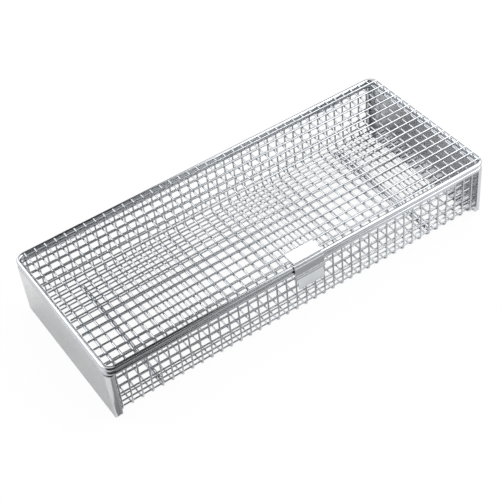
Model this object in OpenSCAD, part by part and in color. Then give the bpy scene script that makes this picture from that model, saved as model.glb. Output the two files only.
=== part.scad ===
// Instrument tray: a wire-mesh basket between two pressed end plates, with a mesh lid that
// swings up about the rear rim rod and a latch clip that hangs on the lid's front rod.
// Frame: X along the tray, Y from front to rear, Z up; origin under the middle of the tray.

/* [Mesh] */
// Spacing of the wires, centre to centre
pitch = 6.35; // [6.0:0.05:6.8]
// Diameter of the mesh wires
wire_d = 1.0; // [0.8:0.05:1.1]
// Number of cross wires, both in the basket and in the lid
cross_wires = 39; // [31:2:45]
// Number of long wires in the lid
lid_long_count = 16; // [14:1:16]
// Number of long wires in the flat of the floor
floor_long_count = 14; // [12:1:14]
// Number of long wires in the front wall and in the rear wall
wall_long_count = 5; // [3:1:5]
// Sideways offset of the basket's cross wires from the lid's
basket_wire_shift = -0.55; // [-0.6:0.05:0]
// Inner offset of the lid's long wires towards the front
lid_wire_shift = -1.65; // [-1.65:0.05:-0.75]
// Offset of the lid's long wires towards the right end
lid_end_shift = 0.6; // [0:0.1:0.6]
// Offset of the floor's long wires towards the rear
floor_wire_shift = 0.35; // [0:0.05:1.2]

/* [Rods] */
// Diameter of the basket's rim rod and the lid's frame rod
rod_d = 3.0; // [2.6:0.1:3.0]
// Half the distance between the front and rear rods
rod_y = 51.6; // [51.6:0.1:52.0]
// Distance from the last cross wire to the centre of a side rod
rod_end_gap = 5.15; // [5.0:0.05:5.5]
// Height of the basket's rim rod
rim_z = 36.7; // [36.4:0.1:38]
// Height of the lid's rod above the rim rod
rod_rise = 3.25; // [3.25:0.05:3.5]
// Bend radius of the rods at the corners, to their centre
rod_bend_r = 4.8; // [4:0.1:6]
// Bend radius of the basket's cross wires, to their centre
wire_bend_r = 3.75; // [3.5:0.05:4]
// Diameter of the stiffening bars across the floor
bar_d = 2.0; // [1.5:0.1:2.0]
// Number of mesh openings from the middle of the tray to each stiffening bar
bar_place = 15; // [10:1:15]
// Sideways place of the left bar in its mesh opening
left_bar_shift = -1.3; // [-1.4:0.1:1.4]
// Sideways place of the right bar in its mesh opening
right_bar_shift = 0.6; // [-1.4:0.1:1.4]

/* [End plates] */
// Sheet thickness of the end plates
sheet_t = 1.5; // [1.2:0.1:1.5]
// Width of the front and rear flanges
flange_w = 4.3; // [3:0.1:4.5]
// Width of the bottom flange
foot_w = 6.0; // [5:0.1:6.0]
// How far the flanges' faces stand out past the centre of the rim rod
flange_out = 0.5; // [0:0.1:0.8]
// Outer radius of the upright corners
upright_r = 3.2; // [2.5:0.1:4]
// Outer radius of the corners at the feet
foot_r = 5.0; // [4:0.1:6]
// Corner radius of the front and rear flanges at the foot
foot_round = 3.0; // [2:0.1:3.2]
// Outer radius of the bend between plate and bottom flange
sole_r = 2.2; // [2:0.1:3]

/* [Hinge clips] */
// Sheet thickness of the hinge clips
clip_t = 0.6; // [0.5:0.05:0.7]
// Radial clearance of the knuckles on the rim rod
pin_gap = 0.05; // [0.03:0.01:0.08]
// Width of a knuckle, which sits between two wires
knuckle_w = 4.2; // [3.6:0.1:4.3]
// Number of knuckles in a clip
knuckles = 3; // [2:1:4]
// Number of mesh openings between the tray's end and a clip
clip_place = 3; // [2:1:5]

/* [Clasp] */
// Width of the latch clip
latch_w = 19.5; // [18:0.1:20]
// Clearance of the latch clip on the lid's rod and in front of the rim rod
latch_gap = 0.1; // [0.05:0.01:0.1]
// Sheet thickness of the latch clip and its plate
latch_t = 0.8; // [0.7:0.05:0.85]
// Width of the finger tongue
tongue_w = 17.4; // [15:0.1:18]
// Length of the finger tongue
tongue_l = 6.4; // [5:0.1:8]
// Outward lean of the tongue, in degrees
tongue_lean = 14; // [5:1:20]
// Height of the latch's face below the lid rod's centre
face_h = 4.8; // [4.6:0.1:6]
// Height of the bead under the face
bead_h = 3.1; // [2.4:0.1:3.6]
// How far the bead stands out
bead_out = 0.9; // [0.6:0.1:1.2]
// Width of the plate on the lid
plate_w = 18.4; // [17:0.1:19]
// Depth of the plate on the lid, front to rear
plate_l = 7.9; // [7:0.1:8]

/* [Hidden] */
$fn = 48;

steel = [0.76, 0.77, 0.79];
satin = [0.72, 0.73, 0.74];
wire_grey = [0.64, 0.65, 0.67];

wire_r = wire_d / 2;
rod_r = rod_d / 2;
last = (cross_wires - 1) / 2;
rod_x = last * pitch + rod_end_gap;
plate_x = rod_x + 1.2;
lid_z = rim_z + rod_rise;

// The basket's cross wires lie on the bottom flanges and stand against the rim rod's inside.
floor_z = sheet_t + wire_r;
wall_y = rod_y - rod_r - wire_r;
wire_top_z = rim_z + 0.3;
long_end_x = plate_x - sheet_t;
top_row_z = rim_z - rod_r - wire_r - 0.44;
bend_wire_a = 55;

// The lid's cross wires rest on the inner shoulders of its rods, and its long wires on them.
lid_cross_z = lid_z + rod_r;
lid_cross_y = rod_y - sqrt(pow(rod_r, 2) - pow(rod_r - wire_r, 2)) - 0.005;
lid_long_z = lid_cross_z + wire_d;
lid_long_x = rod_x - 0.8;
first_long_y = lid_wire_shift - (lid_long_count - 1) / 2 * pitch;
clasp_wires = 3;
clasp_wire_front = -rod_y + 2.3;

flange_y = rod_y + flange_out;
plate_h = rim_z - rod_r;
latch_in = rod_r + latch_gap;
latch_out = latch_in + latch_t;
roll_end = -15;
knuckle_end = -225;

// ---------------------------------------------------------------- shared shapes

// A round bar from the origin along +X, +Y or +Z.
module round_x(l, d) { rotate([0, 90, 0]) cylinder(h = l, d = d); }
module round_y(l, d) { rotate([-90, 0, 0]) cylinder(h = l, d = d); }

// A quarter of a bent bar round the Z axis, from +X to +Y.
module bend(r, d) { rotate_extrude(angle = 90) translate([r, 0]) circle(d = d); }

// A closed rectangle of round bar with bent corners, centred on the Z axis.
module rod_loop(hx, hy, r, d) {
    for (s = [-1, 1]) {
        translate([r - hx, s * hy, 0]) round_x(2 * (hx - r), d);
        translate([s * hx, r - hy, 0]) round_y(2 * (hy - r), d);
    }
    for (k = [0 : 3]) {
        sx = (k == 0 || k == 3) ? 1 : -1;
        sy = k < 2 ? 1 : -1;
        translate([sx * (hx - r), sy * (hy - r), 0]) rotate([0, 0, 90 * k]) bend(r, d);
    }
}

// A pie slice wide enough to cut any of the small rolls, from angle a0 to a1.
module slice(a0, a1, r = 20) {
    steps = max(2, ceil((a1 - a0) / 30));
    polygon(concat([[0, 0]], [for (k = [0 : steps])
        let (a = a0 + (a1 - a0) * k / steps) r * [cos(a), sin(a)]]));
}

// Part of a ring of sheet, seen along its axis.
module roll(r_in, t, a0, a1) {
    intersection() {
        difference() {
            circle(r_in + t);
            circle(r_in);
        }
        slice(a0, a1);
    }
}

// A flat profile drawn in Y (first) and Z (second), made w wide and centred on X.
module along_x(w) {
    translate([-w / 2, 0, 0]) rotate([90, 0, 90]) linear_extrude(w) children();
}

// ---------------------------------------------------------------- end plates

// Outline of the plate in plan: flat outer face at x, both upright corners rounded.
module plan(x, y, r, depth) {
    union() {
        translate([x - depth, -y]) square([depth - r, 2 * y]);
        translate([x - r, r - y]) square([r, 2 * (y - r)]);
        for (s = [-1, 1]) translate([x - r, s * (y - r)]) circle(r);
    }
}

// The block that a pressed pan fills: plan, side outline and the bend at the sole.
module pan_block(inset, depth) {
    x = plate_x - inset;
    y = flange_y - inset;
    top = plate_h + inset * 10;
    fr = foot_r - inset;
    sr = sole_r - inset;
    intersection() {
        linear_extrude(top) plan(x, y, upright_r - inset, depth);
        translate([x - depth, 0, 0]) rotate([90, 0, 90]) linear_extrude(depth) union() {
            translate([-y, inset + fr]) square([2 * y, top]);
            translate([fr - y, inset]) square([2 * (y - fr), top]);
            for (s = [-1, 1]) translate([s * (y - fr), inset + fr]) circle(fr);
        }
        translate([0, y, 0]) rotate([90, 0, 0]) linear_extrude(2 * y) union() {
            translate([x - depth, inset + sr]) square([depth, top]);
            translate([x - depth, inset]) square([depth - sr, top]);
            translate([x - sr, inset + sr]) circle(sr);
        }
    }
}

// What is cut from a flange's lower corner to round it, with the edge of the flange at x.
module foot_cut(x, side) {
    translate([0, side * (flange_y - foot_r / 2 + 1), 0]) rotate([90, 0, 0])
        linear_extrude(foot_r + 2, center = true) difference() {
            translate([x - 1, -1]) square(foot_round + 1);
            translate([x + foot_round, foot_round]) circle(foot_round);
        }
}

module end_plate() {
    lip_x = plate_x - flange_w;
    color(satin) difference() {
        pan_block(0, foot_w);
        pan_block(sheet_t, foot_w + 5);
        translate([lip_x - 10, -flange_y - 1, sheet_t]) cube([10, 2 * flange_y + 2, plate_h]);
        for (s = [-1, 1]) translate([lip_x - 10, s * (flange_y - foot_r / 2) - foot_r / 2 - 1, -1])
            cube([10, foot_r + 2, 5]);
        for (s = [-1, 1]) foot_cut(lip_x, s);
    }
}

module left_end_plate() { mirror([1, 0, 0]) end_plate(); }
module right_end_plate() { end_plate(); }

// ---------------------------------------------------------------- basket

module basket_rim_rod() {
    color(steel) translate([0, 0, rim_z]) rod_loop(rod_x, rod_y, rod_bend_r, rod_d);
}

// One U-shaped cross wire: two uprights, two bends and the stretch under the floor.
module u_wire() {
    run = wall_y - wire_bend_r;
    knee_z = floor_z + wire_bend_r;
    translate([0, -run, floor_z]) round_y(2 * run, wire_d);
    for (s = [0, 1]) mirror([0, s, 0]) {
        translate([0, run, knee_z]) rotate([90, 90, 90]) bend(wire_bend_r, wire_d);
        translate([0, wall_y, knee_z]) cylinder(h = wire_top_z - knee_z, d = wire_d);
    }
}

module basket_cross_wires() {
    color(wire_grey) for (i = [-last : last])
        translate([i * pitch + basket_wire_shift, 0, 0]) u_wire();
}

// A long wire of the basket, from one end plate to the other.
module long_wire(y, z) {
    translate([-long_end_x, y, z]) round_x(2 * long_end_x, wire_d);
}

module floor_long_wires() {
    first = floor_wire_shift - (floor_long_count - 1) / 2 * pitch;
    color(wire_grey) for (k = [0 : floor_long_count - 1])
        long_wire(first + k * pitch, floor_z + wire_d);
}

// The long wires inside the bends between floor and walls.
module bend_wire(side) {
    r = wire_bend_r - wire_d;
    y = wall_y - wire_bend_r + r * cos(bend_wire_a);
    color(wire_grey) long_wire(side * y, floor_z + wire_bend_r - r * sin(bend_wire_a));
}

module front_bend_wire() { bend_wire(-1); }
module rear_bend_wire() { bend_wire(1); }

// The long wires of a wall stand inside the uprights, the top one close under the rim.
module wall_wires(side) {
    color(wire_grey) for (k = [0 : wall_long_count - 1])
        long_wire(side * (wall_y - wire_d), top_row_z - k * pitch);
}

module front_long_wires() { wall_wires(-1); }
module rear_long_wires() { wall_wires(1); }

// A stiffening bar under the floor's long wires, between two cross wires.
module floor_bar(side, shift) {
    run = wall_y - wire_bend_r;
    x = side * (bar_place - 0.5) * pitch + basket_wire_shift + shift;
    color(wire_grey) translate([x, -run, floor_z + wire_r - bar_d / 2])
        round_y(2 * run, bar_d);
}

module left_floor_bar() { floor_bar(-1, left_bar_shift); }
module right_floor_bar() { floor_bar(1, right_bar_shift); }

// ---------------------------------------------------------------- lid

module lid_frame_rod() {
    color(steel) translate([0, 0, lid_z]) rod_loop(rod_x, rod_y, rod_bend_r, rod_d);
}

// Cross wire number i, counted from the middle, from y0 to the rear rod.
module lid_cross(i, y0) {
    translate([i * pitch, y0, lid_cross_z]) round_y(lid_cross_y - y0, wire_d);
}

module lid_cross_wires() {
    half = (clasp_wires - 1) / 2;
    color(wire_grey) for (i = [-last : last]) if (abs(i) > half) lid_cross(i, -lid_cross_y);
}

// The wires behind the latch end short of the front rod, to leave it bare for the latch.
module lid_clasp_wires() {
    half = (clasp_wires - 1) / 2;
    color(wire_grey) for (i = [-half : half]) lid_cross(i, clasp_wire_front);
}

module lid_long_wires() {
    color(wire_grey) for (j = [0 : lid_long_count - 1])
        translate([lid_end_shift - lid_long_x, first_long_y + j * pitch, lid_long_z])
            round_x(2 * lid_long_x, wire_d);
}

// A hinge clip seen along X, from the centre of the rim rod: a web behind both rods, welded
// to the lid's rod.
module clip_web() {
    translate([rod_r, 1]) square([clip_t, rod_rise - 0.85]);
}

// One knuckle: it curls under the rim rod and up its inside.
module clip_knuckle() {
    roll(rod_r + pin_gap, clip_t, knuckle_end, 0);
    translate([rod_r + pin_gap, 0]) square([clip_t - pin_gap, 1.2]);
}

module hinge_clip(first_gap) {
    x0 = (first_gap - last) * pitch + (pitch + basket_wire_shift - knuckle_w) / 2;
    web_w = (knuckles - 1) * pitch + knuckle_w;
    color(steel) translate([x0, rod_y, rim_z]) {
        translate([web_w / 2, 0, 0]) along_x(web_w) clip_web();
        for (k = [0 : knuckles - 1])
            translate([k * pitch + knuckle_w / 2, 0, 0]) along_x(knuckle_w) clip_knuckle();
    }
}

module left_hinge_clip() { hinge_clip(clip_place); }
module right_hinge_clip() { hinge_clip(cross_wires - 1 - clip_place - knuckles); }

// ---------------------------------------------------------------- clasp

// The plate lies on the first long wire. Its rear lip reaches down to the cross wires, and
// its front edge turns down in front of the latch's roll.
module clasp_plate() {
    turn_r = 0.2;
    bottom = lid_long_z + wire_r;
    front = -rod_y - 0.05;
    rear = first_long_y + plate_l - 2.4;
    color(steel) along_x(plate_w) {
        translate([front, bottom]) square([rear - front, latch_t]);
        translate([rear - latch_t, bottom - wire_d]) square([latch_t, wire_d + 0.1]);
        translate([front, bottom - turn_r]) roll(turn_r, latch_t, 90, 180);
    }
}

// The latch seen along X from the centre of the lid's front rod, with the front at -Y.
module latch_roll_and_face() {
    bead_r = (pow(bead_h / 2, 2) + pow(bead_out, 2)) / (2 * bead_out);
    bead_a = asin(bead_h / 2 / bead_r);
    roll(latch_in, latch_t, roll_end, 180);
    translate([-latch_out, -face_h]) square([latch_t, face_h]);
    for (drop = [0, bead_h])
        translate([-latch_out + latch_t / 2, -face_h - drop]) circle(d = latch_t);
    translate([-latch_in - bead_out + bead_r - latch_t, -face_h - bead_h / 2])
        roll(bead_r - latch_t, latch_t, 180 - bead_a, 180 + bead_a);
}

module latch_tongue() {
    translate([-latch_out + latch_t / 2, -face_h - bead_h]) rotate(-tongue_lean) {
        translate([-latch_t / 2, -tongue_l]) square([latch_t, tongue_l]);
        translate([0, -tongue_l]) circle(d = latch_t);
        circle(d = latch_t);
    }
}

module latch_clip() {
    color(steel) translate([0, -rod_y, lid_z]) {
        along_x(latch_w) latch_roll_and_face();
        along_x(tongue_w) latch_tongue();
    }
}

left_end_plate();
right_end_plate();
basket_rim_rod();
basket_cross_wires();
floor_long_wires();
front_bend_wire();
rear_bend_wire();
front_long_wires();
rear_long_wires();
left_floor_bar();
right_floor_bar();
lid_frame_rod();
lid_cross_wires();
lid_clasp_wires();
lid_long_wires();
left_hinge_clip();
right_hinge_clip();
clasp_plate();
latch_clip();
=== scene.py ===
# %% [markdown]
# # A wire instrument tray, finished around its CAD frame
# The tray is a welded stainless mesh basket between two pressed end plates, with
# a hinged mesh lid and a small latch of folded sheet. The CAD model already has
# the right sizes, so it is loaded as a fixed frame. This notebook adds the weld
# nuggets, the finishes, the light and a camera.

# %% Load the frame
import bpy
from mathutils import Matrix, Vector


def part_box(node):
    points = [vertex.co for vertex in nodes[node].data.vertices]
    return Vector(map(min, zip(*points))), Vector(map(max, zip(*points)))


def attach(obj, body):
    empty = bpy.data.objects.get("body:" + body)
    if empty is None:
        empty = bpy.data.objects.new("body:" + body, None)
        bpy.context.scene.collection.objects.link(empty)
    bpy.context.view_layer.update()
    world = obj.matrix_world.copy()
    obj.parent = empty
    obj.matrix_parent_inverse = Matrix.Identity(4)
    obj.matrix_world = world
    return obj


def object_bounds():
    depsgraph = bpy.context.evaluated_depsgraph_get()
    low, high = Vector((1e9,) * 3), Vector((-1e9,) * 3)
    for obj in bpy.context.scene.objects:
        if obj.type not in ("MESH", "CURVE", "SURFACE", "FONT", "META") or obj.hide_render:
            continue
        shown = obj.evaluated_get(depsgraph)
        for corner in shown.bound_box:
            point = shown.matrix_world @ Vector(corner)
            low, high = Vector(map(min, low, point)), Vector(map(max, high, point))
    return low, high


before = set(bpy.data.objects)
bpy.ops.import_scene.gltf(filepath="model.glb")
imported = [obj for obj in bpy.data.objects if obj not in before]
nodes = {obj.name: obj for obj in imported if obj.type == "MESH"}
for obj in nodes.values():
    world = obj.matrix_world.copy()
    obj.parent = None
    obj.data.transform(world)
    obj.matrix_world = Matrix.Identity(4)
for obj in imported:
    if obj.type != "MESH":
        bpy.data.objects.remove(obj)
cad_box = [list(corner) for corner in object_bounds()]

import math
import bmesh
import bpy
from mathutils import Matrix, Vector

print("CAD box in metres", cad_box)

# %% [markdown]
# ## The camera
# The tray is looked at from above its front left corner. A camera close by would
# splay the mesh apart, so a long lens stands about 0.7 m away, which keeps the long
# edges almost parallel. A slight shift of the lens sets the tray in the middle.

# %% Camera
LENS_MM, SENSOR_MM = 87.847, 36.0
STANDPOINT = (-0.25706, -0.43910, 0.51525)
TURNED_DEGREES = (44.8557, 4.8913, -34.0797)

lens = bpy.data.cameras.new("camera")
lens.lens, lens.sensor_width = LENS_MM, SENSOR_MM
lens.shift_x, lens.shift_y = 0.0218, 0.0017
camera = bpy.data.objects.new("camera", lens)
camera.location = STANDPOINT
camera.rotation_euler = [math.radians(angle) for angle in TURNED_DEGREES]
bpy.context.scene.collection.objects.link(camera)
bpy.context.scene.camera = camera
bpy.context.scene.view_settings.view_transform = "Standard"
print("camera at", tuple(camera.location))

# %% [markdown]
# ## Measuring the mesh
# The welds have to sit exactly where the wires touch, so their places are read
# from the frame. The lid's cross wires give the pitch: the width of the whole
# row, less one wire, divided by the gaps between the wires.

# %% Pitch and wire thickness
CROSS_WIRES, CLASP_WIRES = 39, 3
FLOOR_WIRES, BEND_WIRES, WALL_WIRES = 14, 1, 5

lid_low, lid_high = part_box("lid_cross_wires")
long_low, long_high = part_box("lid_long_wires")
wire = long_high[2] - long_low[2]
pitch = (lid_high[0] - lid_low[0] - wire) / (CROSS_WIRES - 1)
print("wire", round(wire * 1000, 3), "mm, pitch", round(pitch * 1000, 3), "mm")


def spread(low, high, count):
    """Centres of a row of wires that fills the space from low to high."""
    step = (high - low - wire) / (count - 1)
    return [low + wire / 2 + step * k for k in range(count)]


# %% [markdown]
# ## Weld nuggets
# Every wire is resistance welded: current squeezes through the touching spot, and
# a little steel is pressed out round it. Left out, the wires only seem to balance
# on the rods. A nugget could be a fillet cut into both wires, but at half a
# millimetre a small flattened ball that sinks into both looks the same and costs
# only forty faces. The three sizes are half widths along x, y and z, in metres: each
# nugget is flattest towards the steel that it sits on.

# %% A row of nuggets
LID_NUGGET = (0.00068, 0.0005, 0.00045)
RIM_NUGGET = (0.00072, 0.00034, 0.0006)
PLATE_NUGGET = (0.0005, 0.00078, 0.00078)


def nuggets(name, body, places, size):
    """Flattened balls at places, with half widths size."""
    shape = bmesh.new()
    for place in places:
        squash = Matrix.Translation(place) @ Matrix.Diagonal((*size, 1))
        bmesh.ops.create_uvsphere(shape, u_segments=8, v_segments=5, radius=1.0, matrix=squash)
    for face in shape.faces:
        face.smooth = True
    mesh = bpy.data.meshes.new(name)
    shape.to_mesh(mesh)
    shape.free()
    piece = bpy.data.objects.new(name, mesh)
    bpy.context.scene.collection.objects.link(piece)
    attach(piece, body)
    print(name, len(places), "nuggets", len(mesh.polygons), "faces")
    return piece


# %% [markdown]
# The lid's cross wires rest on the inner shoulders of the front and rear rods, a
# little below the crest. The shoulder's place follows from the two radii. The three
# wires behind the latch stop short of the front rod and are welded at the rear only.

# %% Welds between the lid's wires and its rod
rod_low, rod_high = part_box("lid_frame_rod")
rod = rod_high[2] - rod_low[2]
rod_y = rod_high[1] - rod / 2
cross_x = spread(lid_low[0], lid_high[0], CROSS_WIRES)
bare = (CLASP_WIRES // 2 + 0.5) * pitch
drop = wire / 2
shoulder = rod_y - math.sqrt((rod / 2) ** 2 - (rod / 2 - drop) ** 2)
lid_spots = [(x, shoulder, rod_high[2] - drop) for x in cross_x]
lid_spots += [(x, -shoulder, rod_high[2] - drop) for x in cross_x if abs(x) > bare]
lid_welds = nuggets("lid_rod_welds", "lid", lid_spots, LID_NUGGET)
print("shoulder", round((rod_y - shoulder) * 1000, 2), "mm inside the rod's centre")

# %% [markdown]
# The basket's wires stand against the inside of the rim rod, so these nuggets are
# flat towards the rod instead. They sit a touch below its middle.

# %% Welds between the basket's wires and the rim rod
BELOW_MIDDLE = 0.0002

rim_low, rim_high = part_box("basket_rim_rod")
basket_low, basket_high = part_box("basket_cross_wires")
rim_z = (rim_low[2] + rim_high[2]) / 2
inside = rod_y - rod / 2
rim_spots = [(x, side * inside, rim_z - BELOW_MIDDLE)
             for x in spread(basket_low[0], basket_high[0], CROSS_WIRES) for side in (-1, 1)]
rim_welds = nuggets("rim_rod_welds", "basket", rim_spots, RIM_NUGGET)

# %% [markdown]
# The long wires butt against the end plates. Each end is welded with a small
# round bead on the plate's inner face.

# %% Welds between the long wires and the end plates
plate_spots = []
for row, count in (("floor_long_wires", FLOOR_WIRES), ("front_bend_wire", BEND_WIRES),
                   ("rear_bend_wire", BEND_WIRES), ("front_long_wires", WALL_WIRES),
                   ("rear_long_wires", WALL_WIRES)):
    low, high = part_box(row)
    across = 1 if row == "floor_long_wires" else 2
    middle = [(low[k] + high[k]) / 2 for k in range(3)]
    centres = spread(low[across], high[across], count) if count > 1 else [middle[across]]
    for centre in centres:
        middle[across] = centre
        plate_spots += [(wire_end, middle[1], middle[2]) for wire_end in (low[0], high[0])]
plate_welds = nuggets("plate_welds", "basket", plate_spots, PLATE_NUGGET)

# %% [markdown]
# ## Building blocks for the finishes
# Steel that is drawn, rolled or polished is never one even grey. Three effects
# come back in several finishes, so each is a node group with named sockets: a fine
# grain, cloudy marks from washing and handling, and the dull spot at each weld.

# %% Small helpers for node trees
def add(tree, kind, **settings):
    """A new node of one kind in a tree, with its settings filled in."""
    node = tree.nodes.new(kind)
    for key, value in settings.items():
        setattr(node, key, value)
    return node


def new_group(name, inputs, outputs):
    """An empty node group. inputs are (name, socket type, default)."""
    tree = bpy.data.node_groups.new(name, "ShaderNodeTree")
    for label, kind, default in inputs:
        socket = tree.interface.new_socket(name=label, in_out="INPUT", socket_type=kind)
        if default is not None:
            socket.default_value = default
    for label in outputs:
        tree.interface.new_socket(name=label, in_out="OUTPUT", socket_type="NodeSocketFloat")
    return tree, add(tree, "NodeGroupInput"), add(tree, "NodeGroupOutput")


def remap(tree, value, low, high, to_low, to_high):
    """A smooth step from to_low to to_high. Each bound is a number or a socket."""
    node = add(tree, "ShaderNodeMapRange", interpolation_type="SMOOTHSTEP")
    tree.links.new(value, node.inputs["Value"])
    for label, bound in (("From Min", low), ("From Max", high),
                         ("To Min", to_low), ("To Max", to_high)):
        if isinstance(bound, (int, float)):
            node.inputs[label].default_value = bound
        else:
            tree.links.new(bound, node.inputs[label])
    return node.outputs["Result"]


VECTOR, NUMBER = "NodeSocketVector", "NodeSocketFloat"
print("helpers ready:", add.__name__, new_group.__name__, remap.__name__)

# %% [markdown]
# Grain comes from a noise that is stretched along the direction in which the
# sheet was rolled or the rod was drawn. The stretch is a Mapping node in each
# material, so that one group serves a sheet as well as a wire. Noise gathers round a
# half, so its middle is spread over the whole range.

# %% The grain group
NOISE_LOW, NOISE_HIGH = 0.3, 0.7

grain_tree, source, result = new_group(
    "drawn_grain", [("Place", VECTOR, None), ("Fineness", NUMBER, 2000.0)], ["Grain"])
noise = add(grain_tree, "ShaderNodeTexNoise", noise_dimensions="3D")
noise.inputs["Detail"].default_value = 3.0
noise.inputs["Roughness"].default_value = 0.6
grain_tree.links.new(source.outputs["Place"], noise.inputs["Vector"])
grain_tree.links.new(source.outputs["Fineness"], noise.inputs["Scale"])
grain_tree.links.new(
    remap(grain_tree, noise.outputs["Fac"], NOISE_LOW, NOISE_HIGH, 0.0, 1.0),
    result.inputs["Grain"])
print("grain group", len(grain_tree.nodes), "nodes")

# %% [markdown]
# Marks are broad soft clouds: water that dried, and fingers on the polish. They start
# a little later than the grain does, so that some of the steel stays clean.

# %% The marks group
MARKS_LOW, MARKS_HIGH = 0.35, 0.7

marks_tree, source, result = new_group(
    "handling_marks", [("Place", VECTOR, None), ("Size", NUMBER, 60.0)], ["Marks"])
noise = add(marks_tree, "ShaderNodeTexNoise", noise_dimensions="3D")
noise.inputs["Detail"].default_value = 2.0
noise.inputs["Distortion"].default_value = 0.4
marks_tree.links.new(source.outputs["Place"], noise.inputs["Vector"])
marks_tree.links.new(source.outputs["Size"], noise.inputs["Scale"])
marks_tree.links.new(
    remap(marks_tree, noise.outputs["Fac"], MARKS_LOW, MARKS_HIGH, 0.0, 1.0),
    result.inputs["Marks"])
print("marks group", len(marks_tree.nodes), "nodes")

# %% [markdown]
# A weld leaves a dull, slightly darker band where two wires cross. Crossings are
# evenly spaced, so the distance along a wire is wrapped at the pitch, and the
# band is where the wrapped distance is small. It is fully dull within 0.4 mm.

# %% The weld group
BAND_CORE = 0.0004

weld_tree, source, result = new_group(
    "weld_bands", [("Along", NUMBER, 0.0), ("First", NUMBER, 0.0),
                   ("Spacing", NUMBER, 0.006), ("Reach", NUMBER, 0.0012)], ["Band"])
shifted = add(weld_tree, "ShaderNodeMath", operation="SUBTRACT")
halved = add(weld_tree, "ShaderNodeMath", operation="MULTIPLY")
halved.inputs[1].default_value = 0.5
minus = add(weld_tree, "ShaderNodeMath", operation="MULTIPLY")
minus.inputs[1].default_value = -0.5
wrapped = add(weld_tree, "ShaderNodeMath", operation="WRAP")
near = add(weld_tree, "ShaderNodeMath", operation="ABSOLUTE")
for output, entry in ((source.outputs["Along"], shifted.inputs[0]),
                      (source.outputs["First"], shifted.inputs[1]),
                      (source.outputs["Spacing"], halved.inputs[0]),
                      (source.outputs["Spacing"], minus.inputs[0]),
                      (shifted.outputs[0], wrapped.inputs[0]),
                      (halved.outputs[0], wrapped.inputs[1]),
                      (minus.outputs[0], wrapped.inputs[2]),
                      (wrapped.outputs[0], near.inputs[0])):
    weld_tree.links.new(output, entry)
weld_tree.links.new(
    remap(weld_tree, near.outputs[0], BAND_CORE, source.outputs["Reach"], 1.0, 0.0),
    result.inputs["Band"])
print("weld group", len(weld_tree.nodes), "nodes")

# %% [markdown]
# ## One recipe for bare steel
# All the parts are the same stainless steel, so one recipe takes the colour, the
# roughness, the direction of the grain and how deep it is. Metallic is the same
# all over, so it is set on the shader itself. Grain, marks and weld bands add up to
# one measure of wear, which darkens the colour and dulls the polish. The grain also
# raises the surface a little, through a Bump node.

# %% The steel recipe
GRAIN_SHARE = 0.5
FULL_WEAR = 2.0
BUMP_STRENGTH = 0.5


def steel(name, colour, rough, stretch, fineness, depth, mottle, weld=None):
    """One finish. stretch sets the grain's direction, fineness its scale per metre
    and depth its height in metres. mottle is how far wear darkens and dulls. weld is
    (axis, first crossing, spacing) where wires cross, or None."""
    material = bpy.data.materials.new(name)
    material.use_nodes = True
    tree = material.node_tree
    shader = tree.nodes["Principled BSDF"]
    shader.inputs["Metallic"].default_value = 1.0
    place = add(tree, "ShaderNodeTexCoord").outputs["Object"]

    along = add(tree, "ShaderNodeMapping")
    along.inputs["Scale"].default_value = stretch
    tree.links.new(place, along.inputs["Vector"])
    grain = add(tree, "ShaderNodeGroup", node_tree=grain_tree)
    grain.inputs["Fineness"].default_value = fineness
    tree.links.new(along.outputs["Vector"], grain.inputs["Place"])
    marks = add(tree, "ShaderNodeGroup", node_tree=marks_tree)
    tree.links.new(place, marks.inputs["Place"])

    wear = add(tree, "ShaderNodeMath", operation="MULTIPLY_ADD")
    tree.links.new(grain.outputs["Grain"], wear.inputs[0])
    wear.inputs[1].default_value = GRAIN_SHARE
    tree.links.new(marks.outputs["Marks"], wear.inputs[2])
    dull = wear.outputs[0]
    if weld:
        axis, first, spacing = weld
        split = add(tree, "ShaderNodeSeparateXYZ")
        tree.links.new(place, split.inputs[0])
        band = add(tree, "ShaderNodeGroup", node_tree=weld_tree)
        band.inputs["First"].default_value = first
        band.inputs["Spacing"].default_value = spacing
        tree.links.new(split.outputs[axis], band.inputs["Along"])
        total = add(tree, "ShaderNodeMath", operation="ADD")
        tree.links.new(dull, total.inputs[0])
        tree.links.new(band.outputs["Band"], total.inputs[1])
        dull = total.outputs[0]

    tint = add(tree, "ShaderNodeMix", data_type="RGBA")
    tint.inputs["A"].default_value = (*colour, 1)
    tint.inputs["B"].default_value = (*[c * (1 - mottle) for c in colour], 1)
    tree.links.new(remap(tree, dull, 0.0, FULL_WEAR, 0.0, 1.0), tint.inputs["Factor"])
    tree.links.new(tint.outputs["Result"], shader.inputs["Base Color"])
    polished, worn = rough * (1 - mottle), rough * (1 + 2 * mottle)
    tree.links.new(remap(tree, dull, 0.0, FULL_WEAR, polished, worn),
                   shader.inputs["Roughness"])
    bump = add(tree, "ShaderNodeBump")
    bump.inputs["Distance"].default_value = depth
    bump.inputs["Strength"].default_value = BUMP_STRENGTH
    tree.links.new(grain.outputs["Grain"], bump.inputs["Height"])
    tree.links.new(bump.outputs["Normal"], shader.inputs["Normal"])
    print(name, "roughness", round(polished, 3), "to", round(worn, 3))
    return material


# %% [markdown]
# The end plates are satin: they are brushed lengthwise, so the grain is long
# along Y and short across it. The rods are electropolished, which leaves a faint
# orange peel with no direction, while the latch and the clips keep a little of the
# sheet's rolled grain. The wires are drawn, and they get weld bands at their crossings.
# Grain depths are in metres.

# %% The finishes
ALONG_X, ALONG_Y, NO_DIRECTION = (0.03, 1, 1), (1, 0.03, 1), (1, 1, 1)
FOLDED_SHEET, BENT_WIRE = (0.05, 1, 1), (1, 0.1, 0.1)
FINE, COARSE = 2e-6, 6e-6

floor_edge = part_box("floor_long_wires")[0][1]
across_lid = ("Y", long_low[1] + wire / 2, pitch)
across_floor = ("Y", floor_edge + wire / 2, pitch)
along_tray = ("X", cross_x[0], pitch)

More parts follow.
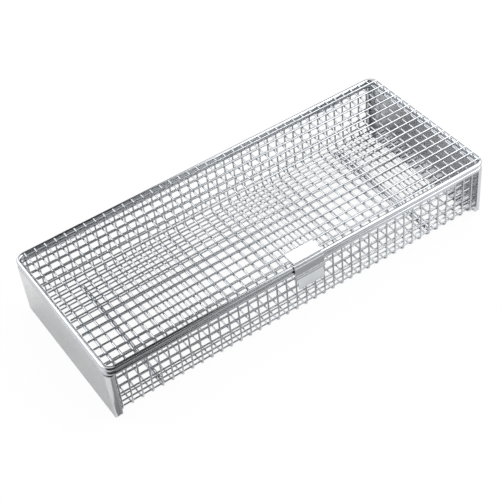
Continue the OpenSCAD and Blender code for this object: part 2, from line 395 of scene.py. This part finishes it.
plate_steel = steel("satin_plate_steel", (0.645, 0.65, 0.66), rough=0.22,
                    stretch=ALONG_Y, fineness=5000, depth=FINE, mottle=0.05)
rod_steel = steel("polished_rod_steel", (0.58, 0.60, 0.625), rough=0.14,
                  stretch=NO_DIRECTION, fineness=900, depth=FINE, mottle=0.14)
clip_steel = steel("polished_clip_steel", (0.67, 0.69, 0.71), rough=0.20,
                   stretch=FOLDED_SHEET, fineness=3000, depth=FINE, mottle=0.10)
weld_steel = steel("weld_nugget_steel", (0.51, 0.52, 0.53), rough=0.30,
                   stretch=NO_DIRECTION, fineness=1500, depth=COARSE, mottle=0.25)
long_steel = steel("long_wire_steel", (0.60, 0.62, 0.645), rough=0.20,
                   stretch=ALONG_X, fineness=4000, depth=FINE, mottle=0.14, weld=along_tray)
cross_steel = steel("lid_cross_wire_steel", (0.60, 0.62, 0.645), rough=0.20,
                    stretch=ALONG_Y, fineness=4000, depth=FINE, mottle=0.14, weld=across_lid)
basket_steel = steel("basket_cross_wire_steel", (0.56, 0.58, 0.605), rough=0.22,
                     stretch=BENT_WIRE, fineness=4000, depth=FINE, mottle=0.14,
                     weld=across_floor)
bar_steel = steel("floor_bar_steel", (0.51, 0.52, 0.54), rough=0.20,
                  stretch=ALONG_Y, fineness=3000, depth=FINE, mottle=0.20)

# %% [markdown]
# Every CAD node takes one finish, by its name. A node that was forgotten would stay
# plain grey, so whatever is left over is printed.

# %% Give every CAD node and every new piece its finish
finishes = {
    "left_end_plate": plate_steel, "right_end_plate": plate_steel,
    "basket_rim_rod": rod_steel, "lid_frame_rod": rod_steel,
    "basket_cross_wires": basket_steel, "floor_long_wires": long_steel,
    "front_bend_wire": long_steel, "rear_bend_wire": long_steel,
    "front_long_wires": long_steel, "rear_long_wires": long_steel,
    "left_floor_bar": bar_steel, "right_floor_bar": bar_steel,
    "lid_cross_wires": cross_steel, "lid_clasp_wires": cross_steel,
    "lid_long_wires": long_steel, "left_hinge_clip": clip_steel,
    "right_hinge_clip": clip_steel, "clasp_plate": clip_steel, "latch_clip": clip_steel,
}
for name, finish in finishes.items():
    for material_slot in nodes[name].material_slots:
        material_slot.material = finish
for piece in (lid_welds, rim_welds, plate_welds):
    piece.data.materials.append(weld_steel)
print(len(finishes), "nodes finished, left over:", sorted(set(nodes) - set(finishes)))

# %% [markdown]
# ## The table and the surroundings
# Polished steel has almost no look of its own: it shows what stands round it. A
# white table and a white room are seen by the camera and in the steel alike, and
# dark flags then give the round bars their dark lines. The table and the flags are
# made alike, as matt sheets that are not attached to the tray.

# %% Flat sheets for the table and the flags
def stage_sheet(name, shape, grey):
    """A finished bmesh as a matt sheet, not attached to the tray."""
    mesh = bpy.data.meshes.new(name)
    shape.to_mesh(mesh)
    shape.free()
    sheet = bpy.data.objects.new(name, mesh)
    bpy.context.scene.collection.objects.link(sheet)
    material = bpy.data.materials.new(name)
    material.use_nodes = True
    shader = material.node_tree.nodes["Principled BSDF"]
    shader.inputs["Base Color"].default_value = (grey, grey, grey, 1)
    shader.inputs["Roughness"].default_value = 1.0
    shader.inputs["Specular IOR Level"].default_value = 0.0
    mesh.materials.append(material)
    print(name, "on the stage, grey", grey)
    return sheet


def flat_sheet(name, matrix, grey):
    """A one metre square, placed and stretched by matrix."""
    shape = bmesh.new()
    bmesh.ops.create_grid(shape, x_segments=1, y_segments=1, size=0.5)
    bmesh.ops.transform(shape, matrix=matrix, verts=shape.verts)
    return stage_sheet(name, shape, grey)


def seen_directly(tree):
    """1 for rays from the camera, from gloss or through glass, otherwise 0."""
    path = add(tree, "ShaderNodeLightPath")
    value = path.outputs["Is Camera Ray"]
    for label in ("Is Glossy Ray", "Is Transmission Ray"):
        larger = add(tree, "ShaderNodeMath", operation="MAXIMUM")
        tree.links.new(value, larger.inputs[0])
        tree.links.new(path.outputs[label], larger.inputs[1])
        value = larger.outputs[0]
    return value


# %% [markdown]
# The table is pale and takes the tray's shadow. Most of what the camera sees of
# it is plain white, and the rest is the lit surface, so the shadow stays soft. It
# lies a hair below the tray's feet, so that no two faces share a plane.

# %% The table
TABLE_WIDTH, TABLE_HEIGHT, TABLE_GREY = 12, -0.0002, 0.93
PLAIN_WHITE = 0.94

table_place = (Matrix.Translation((0, 0, TABLE_HEIGHT))
               @ Matrix.Diagonal((TABLE_WIDTH, TABLE_WIDTH, 1, 1)))
table = flat_sheet("table", table_place, TABLE_GREY)
tree = table.data.materials[0].node_tree
share = add(tree, "ShaderNodeMath", operation="MULTIPLY")
share.inputs[1].default_value = PLAIN_WHITE
white = add(tree, "ShaderNodeEmission")
blend = add(tree, "ShaderNodeMixShader")
tree.links.new(seen_directly(tree), share.inputs[0])
tree.links.new(share.outputs[0], blend.inputs["Fac"])
tree.links.new(tree.nodes["Principled BSDF"].outputs[0], blend.inputs[1])
tree.links.new(white.outputs[0], blend.inputs[2])
tree.links.new(blend.outputs[0], tree.nodes["Material Output"].inputs["Surface"])
print("table", TABLE_WIDTH, "m wide,", PLAIN_WHITE, "of it plain white")

# %% [markdown]
# The room is an even white all round. What is seen of it is full white, but the light
# that it sheds is a quarter weaker, which leaves the softboxes room to shape the tray.

# %% The room
SEEN, SHED = 1.0, 0.75

room = bpy.data.worlds.new("room")
bpy.context.scene.world = room
room.use_nodes = True
tree = room.node_tree
tree.nodes.clear()
dim = add(tree, "ShaderNodeBackground")
dim.inputs["Strength"].default_value = SHED
bright = add(tree, "ShaderNodeBackground")
bright.inputs["Strength"].default_value = SEEN
for light in (dim, bright):
    light.inputs["Color"].default_value = (1, 1, 1, 1)
blend = add(tree, "ShaderNodeMixShader")
world_output = add(tree, "ShaderNodeOutputWorld")
tree.links.new(seen_directly(tree), blend.inputs["Fac"])
tree.links.new(dim.outputs[0], blend.inputs[1])
tree.links.new(bright.outputs[0], blend.inputs[2])
tree.links.new(blend.outputs[0], world_output.inputs["Surface"])
print("room seen at", SEEN, "and shedding", SHED)

# %% [markdown]
# ## Softboxes and flags
# Directions are given in degrees, as a compass angle from the rear of the tray
# towards its right end, and a height above the table. Distances and sizes are in
# metres. Three softboxes, all brighter than the room, give the steel its highlights:
# large ones at the right and the rear left, and a small one at the rear right.

# %% Softboxes
def toward(compass, height, distance):
    """The point at a distance from the tray in one direction."""
    round_tray, upward = math.radians(compass), math.radians(height)
    level = math.cos(upward)
    return Vector((math.sin(round_tray) * level, math.cos(round_tray) * level,
                   math.sin(upward))) * distance


def softbox(name, compass, height, distance, size, radiance):
    """A rectangular lamp that faces the tray. The room's radiance is 1."""
    data = bpy.data.lights.new(name, "AREA")
    data.shape = "RECTANGLE"
    data.size, data.size_y = size
    data.energy = radiance * math.pi * size[0] * size[1]
    lamp = bpy.data.objects.new(name, data)
    lamp.location = toward(compass, height, distance)
    lamp.rotation_euler = (-lamp.location).to_track_quat("-Z", "Y").to_euler()
    lamp.visible_camera = False
    bpy.context.scene.collection.objects.link(lamp)
    print(name, "at", tuple(round(v, 2) for v in lamp.location))


# name, compass, height, distance, (width, height), radiance
softbox("softbox_right", 112, 45, 1.6, (1.7, 1.6), 1.9)
softbox("softbox_rear_left", -32, 38, 1.6, (1.4, 1.3), 1.2)
softbox("softbox_rear", 32, 48, 1.6, (0.6, 0.4), 1.8)

# %% [markdown]
# A flag is seen in the steel only, so it doesn't darken the table. One stands behind
# the camera, with a lighter edge at its right, and one stands low at the rear right.
# The others lie on the table in front of the tray, at its left end and under its
# right end, where the plates and the rods reflect the ground.

# %% Flags
FLAG_HEIGHT = 0.0001


def only_in_gloss(sheet):
    """Hides a sheet from everything but glossy rays."""
    sheet.visible_camera = False
    sheet.visible_diffuse = False
    sheet.visible_shadow = False
    sheet.visible_transmission = False
    return sheet


def standing_flag(name, compass, height, distance, size, grey):
    """A sheet that faces the tray from one direction."""
    facing = toward(compass, height, 1.0)
    turn = facing.to_track_quat("Z", "Y").to_matrix().to_4x4()
    place = Matrix.Translation(facing * distance)
    return only_in_gloss(flat_sheet(name, place @ turn @ Matrix.Diagonal((*size, 1, 1)), grey))


def lying_flag(name, x0, x1, y0, y1, grey):
    """A sheet on the table, from x0 to x1 and from y0 to y1."""
    place = Matrix.Translation(((x0 + x1) / 2, (y0 + y1) / 2, FLAG_HEIGHT))
    stretch = Matrix.Diagonal((x1 - x0, y1 - y0, 1, 1))
    return only_in_gloss(flat_sheet(name, place @ stretch, grey))


# name, compass, height, distance, (width, height), grey
standing_flag("flag_camera_side", 203, 38, 1.2, (2.3, 1.9), 0.05)
standing_flag("flag_camera_edge", 156.5, 38, 1.25, (0.3, 1.9), 0.45)
standing_flag("flag_rear_right", 38, 20, 1.4, (1.6, 0.7), 0.02)

# name, from x, to x, from y, to y, grey
left, front = cad_box[0][:2]
lying_flag("flag_front_table", -0.122, 0.045, front - 0.055, front, 0.42)
lying_flag("flag_front_corner", -0.137, -0.122, front - 0.035, front + 0.003, 0.30)
lying_flag("flag_left_table", -0.141, left, -0.05, 0.07, 0.88)
lying_flag("flag_under_right_end", 0.03, 0.125, -0.046, 0.035, 0.92)
lying_flag("flag_under_right_rear", 0.03, 0.125, 0.035, 0.16, 0.62)
lying_flag("flag_front_left_table", -0.5, -0.02, front - 0.8, front - 0.055, 0.20)

# %% [markdown]
# A round bar that lies along X reflects a whole arch of the room, from the rear
# over the top to the front. Its left end shows an arch nearer the middle than its
# right end does, so one narrow dark arch turns the long rods dark at the left end
# only, and draws one thin dark line down the left side rod. The arch is one edge spun
# about X, so each rod meets it at the same angle. Two lighter strips beside it soften
# its right edge overhead and widen it low at the rear.

# %% The arch
ARCH_RADIUS, ARCH_STEPS = 1.3, 16


def arch(name, x0, x1, start, stop, grey):
    """A curved strip from x0 to x1 over the tray, from start to stop in degrees.
    They count up from the table at the rear and on over the top."""
    shape = bmesh.new()
    first = Matrix.Rotation(math.radians(start), 3, "X")
    corners = [shape.verts.new(first @ Vector((x, ARCH_RADIUS, 0))) for x in (x0, x1)]
    edge = shape.edges.new(corners)
    bmesh.ops.spin(shape, geom=[*edge.verts, edge], cent=(0, 0, 0), axis=(1, 0, 0),
                   angle=math.radians(stop - start), steps=ARCH_STEPS, use_merge=False)
    print(name, len(shape.faces), "faces, to height",
          round(max(vert.co.z for vert in shape.verts), 2), "m")
    return only_in_gloss(stage_sheet(name, shape, grey))


# name, from x, to x, start, stop, grey
arch("flag_arch", 0.09, 0.38, 4, 115, 0.03)
arch("flag_arch_edge", 0.38, 0.48, 64, 115, 0.30)
arch("flag_arch_foot", 0.38, 0.60, 4, 28, 0.10)
